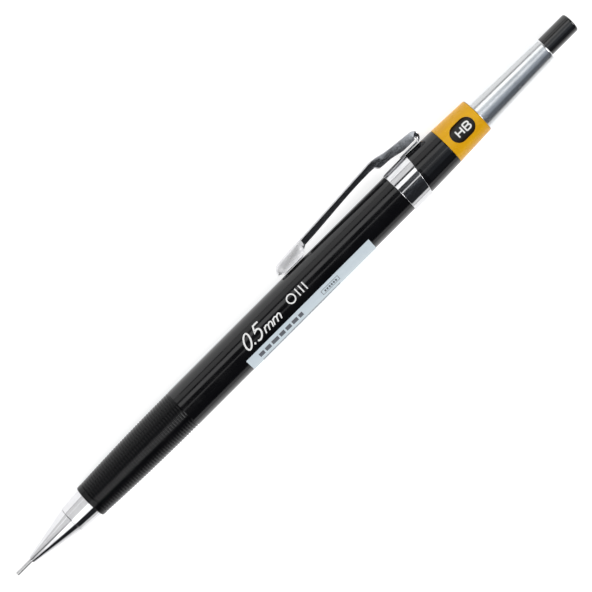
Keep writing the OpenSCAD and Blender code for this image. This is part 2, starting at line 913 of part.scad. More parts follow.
lead_pipe();
nose_cone();
lead_retainer();
nose_collar();
chuck_ring();
chuck();
chuck_housing();
return_spring();
tube_joint();
lead_tube();
writing_lead();
spare_leads();
barrel();
paper_label();
clip_band();
clip_arm();
grade_drum();
grade_ring();
rear_sleeve();
push_button();
eraser();
eraser_cup();
clean_out_pin();
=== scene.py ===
"""Looks of the drafting pencil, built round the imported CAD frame.

Pieces are drawn upright in millimetres: x towards the clip, y towards the printed side and
z the station along the axis from the writing tip. to_row() lays them down in the frame.
"""

import json
import math
import random

import bmesh
import bpy
from mathutils import Matrix, Vector


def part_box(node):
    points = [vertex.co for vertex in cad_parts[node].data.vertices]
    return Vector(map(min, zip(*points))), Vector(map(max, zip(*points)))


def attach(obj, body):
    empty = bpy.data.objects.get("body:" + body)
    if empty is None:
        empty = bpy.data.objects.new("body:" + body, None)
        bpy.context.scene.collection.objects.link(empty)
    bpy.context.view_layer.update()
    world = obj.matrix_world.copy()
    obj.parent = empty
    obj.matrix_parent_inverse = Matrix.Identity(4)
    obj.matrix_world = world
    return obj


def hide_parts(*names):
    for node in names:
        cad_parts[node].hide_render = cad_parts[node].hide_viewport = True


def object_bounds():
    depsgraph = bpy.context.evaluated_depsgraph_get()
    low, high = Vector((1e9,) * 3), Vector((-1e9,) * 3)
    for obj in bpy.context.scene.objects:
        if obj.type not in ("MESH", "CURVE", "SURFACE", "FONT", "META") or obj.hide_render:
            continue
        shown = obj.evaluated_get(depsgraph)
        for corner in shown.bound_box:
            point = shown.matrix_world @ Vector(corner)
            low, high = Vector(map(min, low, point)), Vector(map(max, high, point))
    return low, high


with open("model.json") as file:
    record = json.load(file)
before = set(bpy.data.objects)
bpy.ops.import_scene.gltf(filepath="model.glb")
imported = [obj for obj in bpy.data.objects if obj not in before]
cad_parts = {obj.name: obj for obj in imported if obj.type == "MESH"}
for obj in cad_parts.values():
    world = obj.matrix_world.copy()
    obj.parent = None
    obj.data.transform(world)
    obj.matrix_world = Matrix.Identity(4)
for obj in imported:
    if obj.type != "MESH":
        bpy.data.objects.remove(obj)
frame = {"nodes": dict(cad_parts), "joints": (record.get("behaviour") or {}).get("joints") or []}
cad_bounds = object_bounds()

MM = 0.001


# ---------------------------------------------------------------- places from the frame


def joint(name):
    """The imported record's joint of that name."""
    return next(j for j in frame["joints"] if j["name"] == name)


def start_of(node):
    """Station in mm where a node begins."""
    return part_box(node)[0].x / MM


def end_of(node):
    """Station in mm where a node ends."""
    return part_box(node)[1].x / MM


def radius_of(node):
    """Largest radius in mm of a round node."""
    low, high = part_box(node)
    return (high.z - low.z) / 2 / MM


ALONG = Vector((1, 0, 0))
FACE = -Vector(joint("clip_spring_open")["axis"]).normalized()
CLIP = FACE.cross(ALONG)

CONE_Z = start_of("nose_cone")
COLLAR_Z = start_of("nose_collar")
GRIP_Z = start_of("barrel")
BAND_Z = start_of("clip_band")
BEND_Z = end_of("clip_band")
RING_Z = start_of("grade_ring")
RING_END = end_of("grade_ring")
SLEEVE_Z = start_of("rear_sleeve")
BUTTON_Z = end_of("rear_sleeve")
END_Z = end_of("push_button")
PAD_Z = start_of("clip_arm")
LABEL_Z = start_of("paper_label")
LABEL_END = end_of("paper_label")
BARREL_R = radius_of("barrel")
BAND_R = radius_of("clip_band")
TABLE = min(cad_bounds[0].z, -BAND_R * MM)


def to_row(x, y, z):
    """A point of the upright drawing, in mm, placed in the row's frame, in metres."""
    return (CLIP * x + FACE * y + ALONG * z) * MM


# ---------------------------------------------------------------- shader helpers


class Paint:
    """One procedural material, built node by node."""

    def __init__(self, name):
        self.material = bpy.data.materials.new(name)
        self.material.use_nodes = True
        self.tree = self.material.node_tree
        self.shader = self.tree.nodes["Principled BSDF"]
        place = self.tree.nodes.new("ShaderNodeTexCoord")
        scale = self.tree.nodes.new("ShaderNodeMapping")
        scale.inputs["Scale"].default_value = (1 / MM, 1 / MM, 1 / MM)
        self.tree.links.new(place.outputs["Object"], scale.inputs["Vector"])
        self.mm = scale.outputs["Vector"]

    def link(self, output, socket):
        self.tree.links.new(output, socket)

    def stretched(self, x, y, z):
        """Coordinates in mm, scaled by x along the pencil and by y and z across it."""
        node = self.tree.nodes.new("ShaderNodeMapping")
        node.inputs["Scale"].default_value = (x, y, z)
        self.link(self.mm, node.inputs["Vector"])
        return node.outputs["Vector"]

    def noise(self, vector, scale, detail=3.0, rough=0.55):
        """Soft noise from 0 to 1."""
        node = self.tree.nodes.new("ShaderNodeTexNoise")
        node.inputs["Scale"].default_value = scale
        node.inputs["Detail"].default_value = detail
        node.inputs["Roughness"].default_value = rough
        self.link(vector, node.inputs["Vector"])
        return node.outputs["Fac"]

    def spread(self, value, low, high, to_low, to_high):
        """The value's stretch from low to high laid out from to_low to to_high."""
        node = self.tree.nodes.new("ShaderNodeMapRange")
        node.inputs["From Min"].default_value = low
        node.inputs["From Max"].default_value = high
        node.inputs["To Min"].default_value = to_low
        node.inputs["To Max"].default_value = to_high
        self.link(value, node.inputs["Value"])
        return node.outputs["Result"]

    def blend(self, value, first, second):
        """A colour between two, by a value from 0 to 1."""
        node = self.tree.nodes.new("ShaderNodeMix")
        node.data_type = "RGBA"
        self.link(value, node.inputs["Factor"])
        for socket, colour in ((node.inputs["A"], first), (node.inputs["B"], second)):
            if isinstance(colour, tuple):
                socket.default_value = (*colour, 1.0)
            else:
                self.link(colour, socket)
        return node.outputs["Result"]

    def plus(self, first, second):
        """The sum of two values."""
        node = self.tree.nodes.new("ShaderNodeMath")
        node.operation = "ADD"
        self.link(first, node.inputs[0])
        self.link(second, node.inputs[1])
        return node.outputs[0]

    def along(self):
        """Distance along the pencil in mm."""
        node = self.tree.nodes.new("ShaderNodeSeparateXYZ")
        self.link(self.mm, node.inputs["Vector"])
        return node.outputs["X"]

    def colour(self, output):
        self.link(output, self.shader.inputs["Base Color"])

    def rough(self, output):
        self.link(output, self.shader.inputs["Roughness"])

    def bump(self, height, depth_mm):
        """Raises the surface by up to the depth where the height is 1."""
        node = self.tree.nodes.new("ShaderNodeBump")
        node.inputs["Strength"].default_value = 1.0
        node.inputs["Distance"].default_value = depth_mm * MM
        self.link(height, node.inputs["Height"])
        self.link(node.outputs["Normal"], self.shader.inputs["Normal"])

    def set(self, **values):
        """Plain values on the shader's own sockets, with _ for a space in a name."""
        for name, value in values.items():
            self.shader.inputs[name.replace("_", " ")].default_value = value


def turned_metal(name, light, dark, low, high, rings=9.0, depth=0.0006, anisotropy=0.0):
    """Metal with fine rings from the lathe, faint smudges and a few fine scratches.

    In this and the next paints, two colours come first and then the lowest and highest roughness.
    """
    p = Paint(name)
    p.set(Metallic=1.0, Anisotropic=anisotropy)
    lathe_marks = p.noise(p.stretched(rings, 0.05, 0.05), 1.0, 4.0, 0.7)
    smudge = p.noise(p.mm, 0.35, 3.0)
    scratch = p.noise(p.stretched(0.25, 6.0, 6.0), 1.0, 2.0, 0.6)
    both = p.plus(p.spread(lathe_marks, 0.35, 0.65, 0.0, 0.5), p.spread(smudge, 0.4, 0.7, 0.0, 0.5))
    p.colour(p.blend(both, light, dark))
    grain = p.spread(both, 0.0, 1.0, low, high)
    p.rough(p.plus(grain, p.spread(scratch, 0.62, 0.75, 0.0, 0.05)))
    p.bump(lathe_marks, depth)
    return p.material


def sheet_metal(name, light, dark, low, high, satin_to):
    """Plated stamping: a bright skin with soft waves, handling marks and faint wear."""
    p = Paint(name)
    p.set(Metallic=1.0)
    waves = p.noise(p.mm, 0.55, 2.0)
    wear = p.noise(p.stretched(0.5, 2.2, 2.2), 1.0, 5.0, 0.65)
    p.colour(p.blend(p.spread(wear, 0.42, 0.7, 0.0, 1.0), light, dark))
    satin = p.spread(p.along(), satin_to - 0.4, satin_to, 0.2, 0.0)
    p.rough(p.plus(p.spread(wear, 0.3, 0.75, low, high), satin))
    p.bump(waves, 0.004)
    return p.material


def moulded_plastic(name, base, tint, low, high, grain=0.0015, coat=0.0, index=1.5):
    """Moulded plastic: slight flow tint, a fine skin and patches polished by the hand."""
    p = Paint(name)
    p.set(IOR=index, Coat_Weight=coat, Coat_Roughness=0.06)
    flow = p.noise(p.stretched(0.08, 0.5, 0.5), 1.0, 3.0)
    polish = p.noise(p.mm, 0.22, 4.0, 0.6)
    skin = p.noise(p.mm, 9.0, 3.0)
    scuffs = p.noise(p.stretched(0.35, 3.5, 3.5), 1.0, 6.0, 0.7)
    p.colour(p.blend(p.spread(flow, 0.3, 0.7, 0.0, 1.0), base, tint))
    shine = p.spread(polish, 0.3, 0.7, low, high)
    p.rough(p.plus(shine, p.spread(scuffs, 0.6, 0.8, 0.0, 0.12)))
    p.bump(skin, grain)
    return p.material


def paper(name, base, tint):
    """Coated label paper with a faint fibre pattern."""
    p = Paint(name)
    p.set(IOR=1.45, Sheen_Weight=0.08)
    fibres = p.noise(p.stretched(2.0, 9.0, 9.0), 1.0, 5.0, 0.7)
    clouds = p.noise(p.mm, 0.3, 3.0)
    both = p.plus(p.spread(fibres, 0.3, 0.7, 0.0, 0.5), p.spread(clouds, 0.3, 0.7, 0.0, 0.5))
    p.colour(p.blend(both, base, tint))
    p.rough(p.spread(fibres, 0.3, 0.7, 0.42, 0.62))
    p.bump(fibres, 0.004)
    return p.material


def ink(name, base, tint, low, high):
    """Printed ink: nearly even, a little thin in specks."""
    p = Paint(name)
    specks = p.noise(p.mm, 14.0, 2.0)
    p.colour(p.blend(p.spread(specks, 0.55, 0.8, 0.0, 1.0), base, tint))
    p.rough(p.spread(specks, 0.3, 0.7, low, high))
    p.bump(specks, 0.0006)
    return p.material


def soft_rubber(name, base, tint, smear):
    """Rubber or vinyl with a powdery skin and darker smears from use."""
    p = Paint(name)
    p.set(IOR=1.45, Sheen_Weight=0.15)
    powder = p.noise(p.mm, 6.0, 5.0, 0.7)
    marks = p.noise(p.stretched(0.7, 0.7, 0.7), 1.0, 4.0, 0.65)
    mottled = p.blend(powder, base, tint)
    p.colour(p.blend(p.spread(marks, 0.6, 0.75, 0.0, 1.0), mottled, smear))
    p.rough(p.spread(powder, 0.3, 0.7, 0.62, 0.85))
    p.bump(powder, 0.012)
    return p.material


CHROME = turned_metal("nose_plate", (0.70, 0.70, 0.71), (0.63, 0.63, 0.65), 0.045, 0.11)
COLLAR_CHROME = turned_metal("collar_plate", (0.69, 0.69, 0.70), (0.62, 0.62, 0.64), 0.05, 0.12)
PIPE_STEEL = turned_metal("pipe_metal", (0.60, 0.60, 0.60), (0.45, 0.45, 0.46), 0.14, 0.26, 14.0)
CLIP_CHROME = sheet_metal("clip_plate", (0.70, 0.70, 0.71), (0.60, 0.60, 0.62), 0.05, 0.14, 80.5)
SATIN = turned_metal(
    "sleeve_satin", (0.79, 0.80, 0.81), (0.74, 0.76, 0.78), 0.20, 0.26, 12.0, 0.0006, 0.3
)
BRASS = turned_metal("turned_brass", (0.78, 0.60, 0.27), (0.58, 0.42, 0.17), 0.16, 0.34, 7.0)
STEEL = turned_metal("drawn_steel", (0.68, 0.68, 0.69), (0.50, 0.50, 0.52), 0.18, 0.34, 10.0)
WIRE = turned_metal("spring_wire", (0.50, 0.50, 0.52), (0.33, 0.33, 0.35), 0.2, 0.4, 3.0)
BLACK = moulded_plastic(
    "barrel_black", (0.0022, 0.0022, 0.0028), (0.0036, 0.0036, 0.0044), 0.10, 0.18
)
# The grip's paint is the barrel's plastic with a darker colour and a weaker reflection: painted shade
# standing in for the ribs' self-shadowing.
GRIP_SHADED_BLACK = moulded_plastic(
    "grip_black_painted_shade", (0.0018, 0.0018, 0.0024), (0.0030, 0.0030, 0.0038), 0.14, 0.24, index=1.33
)
BUTTON_BLACK = moulded_plastic(
    "button_black", (0.0025, 0.0025, 0.003), (0.004, 0.004, 0.0045), 0.10, 0.16, coat=0.5
)
DRUM_BLACK = moulded_plastic(
    "drum_black", (0.0045, 0.0032, 0.0030), (0.007, 0.0050, 0.0048), 0.28, 0.4
)
YELLOW = moulded_plastic(
    "ring_yellow", (0.81, 0.43, 0.006), (0.73, 0.35, 0.004), 0.2, 0.34, 0.002, index=1.36
)
JOINT_BLACK = moulded_plastic(
    "joint_black", (0.015, 0.015, 0.016), (0.03, 0.03, 0.03), 0.3, 0.5
)
TUBE_WHITE = moulded_plastic(
    "tube_white", (0.72, 0.73, 0.72), (0.60, 0.62, 0.61), 0.28, 0.42
)
PAPER = paper("label_paper_skin", (0.66, 0.74, 0.79), (0.60, 0.69, 0.75))
WHITE_INK = ink("white_print", (0.86, 0.86, 0.85), (0.62, 0.62, 0.61), 0.35, 0.5)
GREY_INK = ink("grey_print", (0.10, 0.11, 0.13), (0.22, 0.24, 0.27), 0.45, 0.6)
RUBBER_DARK = soft_rubber("bush_rubber", (0.03, 0.03, 0.03), (0.05, 0.05, 0.05), (0.02, 0.02, 0.02))
ERASER_WHITE = soft_rubber(
    "eraser_white", (0.86, 0.86, 0.84), (0.80, 0.80, 0.77), (0.55, 0.55, 0.55)
)
GRAPHITE = turned_metal("lead_graphite", (0.10, 0.10, 0.11), (0.05, 0.05, 0.055), 0.34, 0.5, 4.0)


# ---------------------------------------------------------------- mesh helpers

MERGE_WITHIN = 1e-7


def emit(name, points, faces, paint, body, stands_for=(), crease=32):
    """Makes one piece from upright points in mm, lays it down and ties it to its body.

    It stands for some CAD nodes, and edges sharper than the crease, in degrees, stay sharp.
    """
    mesh = bpy.data.meshes.new(name)
    mesh.from_pydata([to_row(*p) for p in points], [], faces)
    work = bmesh.new()
    work.from_mesh(mesh)
    bmesh.ops.remove_doubles(work, verts=work.verts, dist=MERGE_WITHIN)
    bmesh.ops.recalc_face_normals(work, faces=work.faces)
    work.to_mesh(mesh)
    work.free()
    mesh.shade_smooth()
    mesh.set_sharp_from_angle(angle=math.radians(crease))
    mesh.materials.append(paint)
    piece = bpy.data.objects.new(name, mesh)
    bpy.context.scene.collection.objects.link(piece)
    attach(piece, body)
    if stands_for:
        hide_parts(*stands_for)
    return piece


def ring_angles(count, extra=()):
    """Column angles in degrees round the axis, with some extra ones put in."""
    step = 360 / count
    angles = [i * step for i in range(count)]
    kept = [a for a in angles if all(abs(a - b % 360) > step * 0.2 for b in extra)]
    return sorted(kept + [b % 360 for b in extra])


def lathe(rows, angles, closed=True, reshape=None):
    """Turns (radius, station) rows about the axis. reshape may move (radius, station, angle)."""
    points = []
    for r, z in rows:
        for a in angles:
            radius, station = (r, z) if reshape is None else reshape(r, z, a)
            turn = math.radians(a)
            points.append((radius * math.cos(turn), radius * math.sin(turn), station))
    wide = len(angles)
    faces = []
    spans = len(rows) if closed else len(rows) - 1
    for i in range(spans):
        low = i * wide
        high = ((i + 1) % len(rows)) * wide
        for k in range(wide):
            after = (k + 1) % wide
            faces.append((low + k, low + after, high + after, high + k))
    return points, faces


def loft(sections, count):
    """Faces over a run of closed sections of count points each, capped at both ends."""
    faces = []
    for i in range(sections - 1):
        low = i * count
        high = low + count
        for k in range(count):
            after = (k + 1) % count
            faces.append((low + k, low + after, high + after, high + k))
    faces.append(tuple(range(count)))
    faces.append(tuple(reversed(range((sections - 1) * count, sections * count))))
    return faces


CORNER_SHARE = 0.42
HOLD_SHARE = 0.05


def soften(corners, closed=True, steps=5):
    """Rounds the (radius, station, round) corners of an outline and holds its flats straight."""
    rows = []
    last = len(corners) - 1
    for i, (r, z, bend) in enumerate(corners):
        here = Vector((r, z))
        if bend <= 0 or (not closed and i in (0, last)):
            rows.append(here)
            continue
        before = Vector(corners[i - 1][:2]) - here
        after = Vector(corners[(i + 1) % len(corners)][:2]) - here
        half = before.angle(after) / 2
        shorter = min(before.length, after.length)
        reach = min(bend / math.tan(half), CORNER_SHARE * shorter)
        centre_way = (before.normalized() + after.normalized()).normalized()
        centre = here + centre_way * (reach / math.cos(half))
        first = here + before.normalized() * reach
        second = here + after.normalized() * reach
        hold = min(reach / 2, HOLD_SHARE * shorter)
        rows.append(first + before.normalized() * hold)
        for k in range(steps + 1):
            way = (first - centre).lerp(second - centre, k / steps).normalized()
            rows.append(centre + way * (first - centre).length)
        rows.append(second + after.normalized() * hold)
    return [(p.x, p.y) for p in rows]


def smooth_line(points):
    """A smooth curve through (x, y) points that never overshoots them."""
    xs = [p[0] for p in points]
    ys = [p[1] for p in points]
    slopes = [(ys[i + 1] - ys[i]) / (xs[i + 1] - xs[i]) for i in range(len(xs) - 1)]
    tangents = [slopes[0]]
    for before, after in zip(slopes, slopes[1:]):
        tangents.append(0.0 if before * after <= 0 else 2 * before * after / (before + after))
    tangents.append(slopes[-1])

    def value(x):
        if x <= xs[0]:
            return ys[0]
        if x >= xs[-1]:
            return ys[-1]
        i = next(k for k in range(len(xs) - 1) if x <= xs[k + 1])
        width = xs[i + 1] - xs[i]
        t = (x - xs[i]) / width
        rise = 3 * t * t - 2 * t * t * t
        lift = t * (1 - t) * (1 - t) * tangents[i] - t * t * (1 - t) * tangents[i + 1]
        return ys[i] + (ys[i + 1] - ys[i]) * rise + width * lift

    return value


def spaced(first, last, step):
    """Values from first to last, about a step apart."""
    count = max(1, round((last - first) / step))
    return [first + (last - first) * i / count for i in range(count + 1)]


# ---------------------------------------------------------------- nose

PIPE_R = 0.41
PIPE_BORE = 0.29
PIPE_END = 7.0
SHANK_R = 0.58
SHANK_Z = CONE_Z + 0.1
CONE_TIP_R = 0.72
CONE_BASE_R = 2.75
COLLAR_FRONT_R = 2.81
COLLAR_REAR_R = 3.15
COLLAR_BORE = 2.25
SPIGOT_R = 2.21
SPIGOT_END = COLLAR_Z + 3.15
THREAD_PITCH = 0.5
THREAD_DEPTH = 0.12
THREAD_FADE = 0.3
CONE_SEAM = COLLAR_Z - 0.05
SPIGOT_BORE = 1.62
CONE_BORE = 0.9
SHANK_HOLE = SHANK_R + 0.02
PIPE_HOLE = PIPE_R + 0.02
STEM_R = 2.9
NOSE_STEPS = 160


def build_pipe():
    """The guide pipe and its thicker shank in the cone."""
    rows = soften([
        (PIPE_BORE, 0, 0.03),
        (PIPE_R, 0, 0.06),
        (PIPE_R, SHANK_Z, 0),
        (SHANK_R, SHANK_Z, 0),
        (SHANK_R, PIPE_END, 0),
        (PIPE_BORE, PIPE_END, 0),
    ])
    points, faces = lathe(rows, ring_angles(64))
    emit("pipe", points, faces, PIPE_STEEL, "tip", ["lead_pipe"])


def thread_wave(z, a, first, last):
    """How deep a running thread is cut at a station and angle, from 0 to 1."""
    edge = max(0.0, min(1.0, (z - first) / THREAD_FADE, (last - z) / THREAD_FADE))
    phase = ((z - first) / THREAD_PITCH - a / 360) % 1.0
    return edge * abs(2 * phase - 1)


def build_cone():
    """The cone, its hollow for the bush and its threaded spigot."""
    root = SPIGOT_R - THREAD_DEPTH
    hollow_z = SPIGOT_END - 3.3
    spigot = spaced(COLLAR_Z + 0.5, SPIGOT_END - 0.2, 0.06)
    rows = soften([
        (PIPE_HOLE, CONE_Z, 0),
        (CONE_TIP_R, CONE_Z, 0.09),
        (CONE_BASE_R, CONE_SEAM, 0.1),
        (root, CONE_SEAM, 0),
        (root, COLLAR_Z + 0.45, 0),
    ], closed=False)
    rows += [(SPIGOT_R, z) for z in spigot]
    rows += [
        (SPIGOT_R - 0.2, SPIGOT_END),
        (SPIGOT_BORE, SPIGOT_END),
        (SPIGOT_BORE, hollow_z),
        (CONE_BORE, hollow_z - 0.3),
        (CONE_BORE, PIPE_END),
        (SHANK_HOLE, PIPE_END),
        (SHANK_HOLE, SHANK_Z),
        (PIPE_HOLE, SHANK_Z),
    ]

    def threaded(r, z, a):
        if r == SPIGOT_R:
            return r - THREAD_DEPTH * thread_wave(z, a, spigot[0], spigot[-1]), z
        return r, z

    points, faces = lathe(rows, ring_angles(NOSE_STEPS), reshape=threaded)
    emit("cone", points, faces, CHROME, "nose", ["nose_cone"], crease=26)


def build_collar():
    """The collar between the cone's seam and the grip, and its stem in the barrel."""
    stem_root = STEM_R - THREAD_DEPTH
    stem_end = end_of("nose_collar")
    rows = soften([
        (COLLAR_BORE, COLLAR_Z, 0.03),
        (COLLAR_FRONT_R, COLLAR_Z, 0.09),
        (COLLAR_REAR_R, GRIP_Z, 0.03),
        (stem_root, GRIP_Z, 0),
        (stem_root, GRIP_Z + 0.6, 0),
        (stem_root, stem_end, 0),
        (COLLAR_BORE, stem_end, 0),
    ])
    points, faces = lathe(rows, ring_angles(NOSE_STEPS))
    emit("collar", points, faces, COLLAR_CHROME, "body", ["nose_collar"])


# ---------------------------------------------------------------- barrel

GRIP_FRONT_R = 3.5
PLAIN_Z = 43.5
RIB_PITCH = 0.58
RIB_COUNT = 40
RIB_DEPTH = 0.12
TAPER_Z = 105.7
REAR_R = 4.0
BARREL_END = RING_Z - 0.05
NECK_R = 2.6
NECK_END = SLEEVE_Z + 5.6
NECK_BORE = 1.7
BARREL_BORE = 2.6
SHOULDER_Z = RING_Z - 2.25
STEM_POCKET = GRIP_Z + 7
BARREL_STEPS = 216
PANEL_TURN = 86
PANEL_ANGLE = 62
PANEL_LINE = 0.2
PANEL_DEPTH = 0.08
PANEL_Z = 45.1
PANEL_L = 11.2


def crest(z):
    """Radius of the grip's crests at a station."""
    share = min(1.0, (z - GRIP_Z) / (PLAIN_Z - GRIP_Z))
    return BARREL_R - (BARREL_R - GRIP_FRONT_R) * (1 - share) ** 2


def rib_rows():
    """The grip's outline behind its plain lip: rounded ribs with narrow grooves between them."""
    first = PLAIN_Z - RIB_COUNT * RIB_PITCH
    half = RIB_PITCH / 4
    shape = [(-1.0, 0.24), (-0.92, 0.072), (-0.6, 0), (0, 0), (0.6, 0), (0.92, 0.072), (1.0, 0.24)]
    rows = []
    for i in range(RIB_COUNT):
        middle = first + i * RIB_PITCH + half
        for share, drop in shape:
            z = middle + share * half
            rows.append((crest(z) - drop * RIB_DEPTH, z))
        for share in (0.36, 0.5, 0.64):
            z = middle + half + share * RIB_PITCH / 2
            deep = 1.0 if share == 0.5 else 0.86
            if z < PLAIN_Z - 0.05:
                rows.append((crest(z) - RIB_DEPTH * deep, z))
    return rows


def panel_cut(z, a, edges):
    """True where the engraved frame's line runs."""
    low_z, high_z, low_a, high_a, line_a = edges
    inside = low_z < z < high_z and low_a < a < high_a
    hollow = low_z + PANEL_LINE < z < high_z - PANEL_LINE
    hollow = hollow and low_a + line_a < a < high_a - line_a
    return inside and not hollow


def build_barrel():
    """The barrel in two shells with one paint each: the grip, in the barrel's plastic made darker and less
    shiny as painted shade of its ribs, and the rest back to the neck.
    """
    line_a = math.degrees(PANEL_LINE / BARREL_R)
    low_a = PANEL_TURN - PANEL_ANGLE / 2
    high_a = PANEL_TURN + PANEL_ANGLE / 2
    # how far the walls of the engraved line lean over, in degrees round and in mm along
    slim = 0.25
    wall = 0.02
    angles = ring_angles(BARREL_STEPS, [
        low_a, low_a + slim, low_a + line_a - slim, low_a + line_a,
        high_a, high_a - slim, high_a - line_a + slim, high_a - line_a,
    ])
    panel_end = PANEL_Z + PANEL_L
    lines = []
    for z in (PANEL_Z, PANEL_Z + PANEL_LINE, panel_end - PANEL_LINE, panel_end):
        lines += [z, z + wall] if z in (PANEL_Z, panel_end - PANEL_LINE) else [z - wall, z]
    lip_z = PLAIN_Z - RIB_COUNT * RIB_PITCH - RIB_PITCH / 2
    front = soften([
        (STEM_R, GRIP_Z, 0),
        (crest(GRIP_Z), GRIP_Z, 0.35),
        (crest(lip_z), lip_z, 0.08),
        (crest(lip_z) - RIB_DEPTH, lip_z + 0.15, 0),
    ], closed=False, steps=7)
    back = soften([
        (BARREL_R, PLAIN_Z + 1.0, 0),
        (BARREL_R, TAPER_Z, 0.6),
        (REAR_R, BARREL_END, 0.12),
        (NECK_R, BARREL_END, 0.05),
        (NECK_R, NECK_END, 0),
    ], closed=False)
    grip = front + rib_rows() + [(BARREL_R, PLAIN_Z), (BARREL_BORE, PLAIN_Z)]
    grip += [(BARREL_BORE, STEM_POCKET), (STEM_R, STEM_POCKET)]
    rows = [(BARREL_R, z) for z in [PLAIN_Z, PLAIN_Z + 0.3, *lines]] + back[1:]
    rows += [(NECK_BORE, NECK_END), (NECK_BORE, SHOULDER_Z)]
    rows += [(BARREL_BORE, SHOULDER_Z), (BARREL_BORE, PLAIN_Z)]
    edges = (PANEL_Z, panel_end, low_a, high_a, line_a)

    def engraved(r, z, a):
        return (r - PANEL_DEPTH, z) if r == BARREL_R and panel_cut(z, a, edges) else (r, z)

    points, faces = lathe(rows, angles, reshape=engraved)
    emit("barrel_shell", points, faces, BLACK, "body", ["barrel"], crease=35)
    points, faces = lathe(grip, angles)
    emit("grip_shell", points, faces, GRIP_SHADED_BLACK, "body", (), crease=35)


# ---------------------------------------------------------------- printing


def ribbon(line, width):
    """A flat band of the given width along a line of (u, v) points, as pairs of edge points."""
    pairs = []
    closed = line[0] == line[-1]
    count = len(line)
    for i, here in enumerate(line):
        here = Vector(here)
        if closed:
            before = Vector(line[i - 1]) if i > 0 else Vector(line[-2])
            after = Vector(line[(i + 1) % count]) if i < count - 1 else Vector(line[1])
        else:
            before = Vector(line[max(i - 1, 0)])
            after = Vector(line[min(i + 1, count - 1)])
        way_in = (here - before).normalized() if (here - before).length > 0 else None
        way_out = (after - here).normalized() if (after - here).length > 0 else None
        way_in = way_in or way_out
        way_out = way_out or way_in
        way = (way_in + way_out).normalized()
        side = Vector((-way.y, way.x))
        stretch = 1 / max(0.5, way.dot(way_out))
        pairs.append((here + side * width / 2 * stretch, here - side * width / 2 * stretch))
    return pairs


def arc_line(cu, cv, ru, rv, first, last, steps=14):
    """Points (u, v) of an elliptical arc."""
    return [
        (
            cu + ru * math.cos(math.radians(first + (last - first) * i / steps)),
            cv + rv * math.sin(math.radians(first + (last - first) * i / steps)),
        )
        for i in range(steps + 1)
    ]


def glyph(sign, tall, wide):
    """Strokes of a plain sign, each a line of (u, v) points, in a box wide by tall."""
    mid = tall / 2
    if sign == "0":
        return [arc_line(wide / 2, mid, wide / 2, tall / 2, 90, 450, 28)]
    if sign == "5":
        bowl = arc_line(wide * 0.42, tall * 0.33, wide * 0.52, tall * 0.33, 105, -130, 18)
        return [[(wide * 0.92, tall), (wide * 0.12, tall), (wide * 0.05, tall * 0.58)] + bowl]
    if sign == ".":
        return [[(wide * 0.5, 0.0), (wide * 0.5, tall * 0.12)]]
    if sign == "m":
        arch = wide / 2
        spring = tall * 0.62
        first = [(0, 0), (0, spring)] + arc_line(arch / 2, spring, arch / 2, tall * 0.38, 180, 0)
        second = arc_line(arch * 1.5, spring, arch / 2, tall * 0.38, 180, 0)
        return [first + [(arch, 0)], second + [(wide, 0)], [(0, tall), (0, spring)]]
    if sign == "H":
        return [[(0, 0), (0, tall)], [(wide, 0), (wide, tall)], [(0, mid), (wide, mid)]]
    if sign == "B":
        bend = wide * 0.55
        upper = [(0, tall), (bend, tall)] + arc_line(bend, tall * 0.76, wide - bend, tall * 0.24, 90, -90)
        lower = arc_line(bend, tall * 0.26, wide - bend, tall * 0.26, 90, -90)
        return [[(0, 0), (0, tall)], upper + [(0, tall * 0.52)], lower + [(0, 0)]]
    if sign == "F":
        return [[(wide, tall), (0, tall), (0, 0)], [(0, mid), (wide * 0.8, mid)]]
    if sign == "2":
        top = arc_line(wide / 2, tall * 0.72, wide / 2, tall * 0.28, 160, -30)
        return [top + [(0, 0), (wide, 0)]]
    return []


SMALL_LETTER = 0.62
SIGN_ROOM = {".": 0.45, "m": 1.35, "F": 0.85}
PRINT_STEP = 0.25
PRINT_LIFT = 0.012
PRINT_UNDER = 0.002
LAYER_LIFT = 0.0012


def words(signs, tall, wide, gap, at_u, at_v, slant=0.0):
    """Strokes of a row of signs, starting at (at_u, at_v), leaned over by the slant."""
    lines = []
    u = at_u
    for sign in signs:
        room = SIGN_ROOM.get(sign, 1.0) * wide
        height = tall * SMALL_LETTER if sign == "m" else tall
        for line in glyph(sign, height, room):
            lines.append([(u + p[0] + slant * p[1], at_v + p[1]) for p in line])
        u += room + gap
    return lines


def printed(name, lines, width, radius, turn, station, paint, body):
    """Lays strokes on a round surface. u runs along the pencil, v towards the clip side."""
    points = []
    faces = []
    for layer, line in enumerate(lines):
        fine = []
        for first, second in zip(line, line[1:]):
            steps = max(1, math.ceil((Vector(second) - Vector(first)).length / PRINT_STEP))
            fine += [tuple(Vector(first).lerp(Vector(second), k / steps)) for k in range(steps)]
        fine.append(tuple(line[-1]))
        top = PRINT_LIFT + layer % 7 * LAYER_LIFT
        for low in (False, True):
            base = len(points)
            for pair in ribbon(fine, width):
                for u, v in pair:
                    r = radius + (PRINT_UNDER if low else top)
                    a = math.radians(turn) - v / radius
                    points.append((r * math.cos(a), r * math.sin(a), station + u))
            if low:
                start = base - 2 * len(fine)
                for i in range(len(fine) - 1):
                    k = 2 * i
                    faces.append((start + k, start + k + 1, start + k + 3, start + k + 2))
                    faces.append((base + k, base + k + 2, base + k + 3, base + k + 1))
                    faces.append((start + k, start + k + 2, base + k + 2, base + k))
                    faces.append((start + k + 1, base + k + 1, base + k + 3, start + k + 3))
                end = 2 * (len(fine) - 1)
                faces.append((start, base, base + 1, start + 1))
                faces.append((start + end, start + end + 1, base + end + 1, base + end))
    emit(name, points, faces, paint, body, (), crease=40)


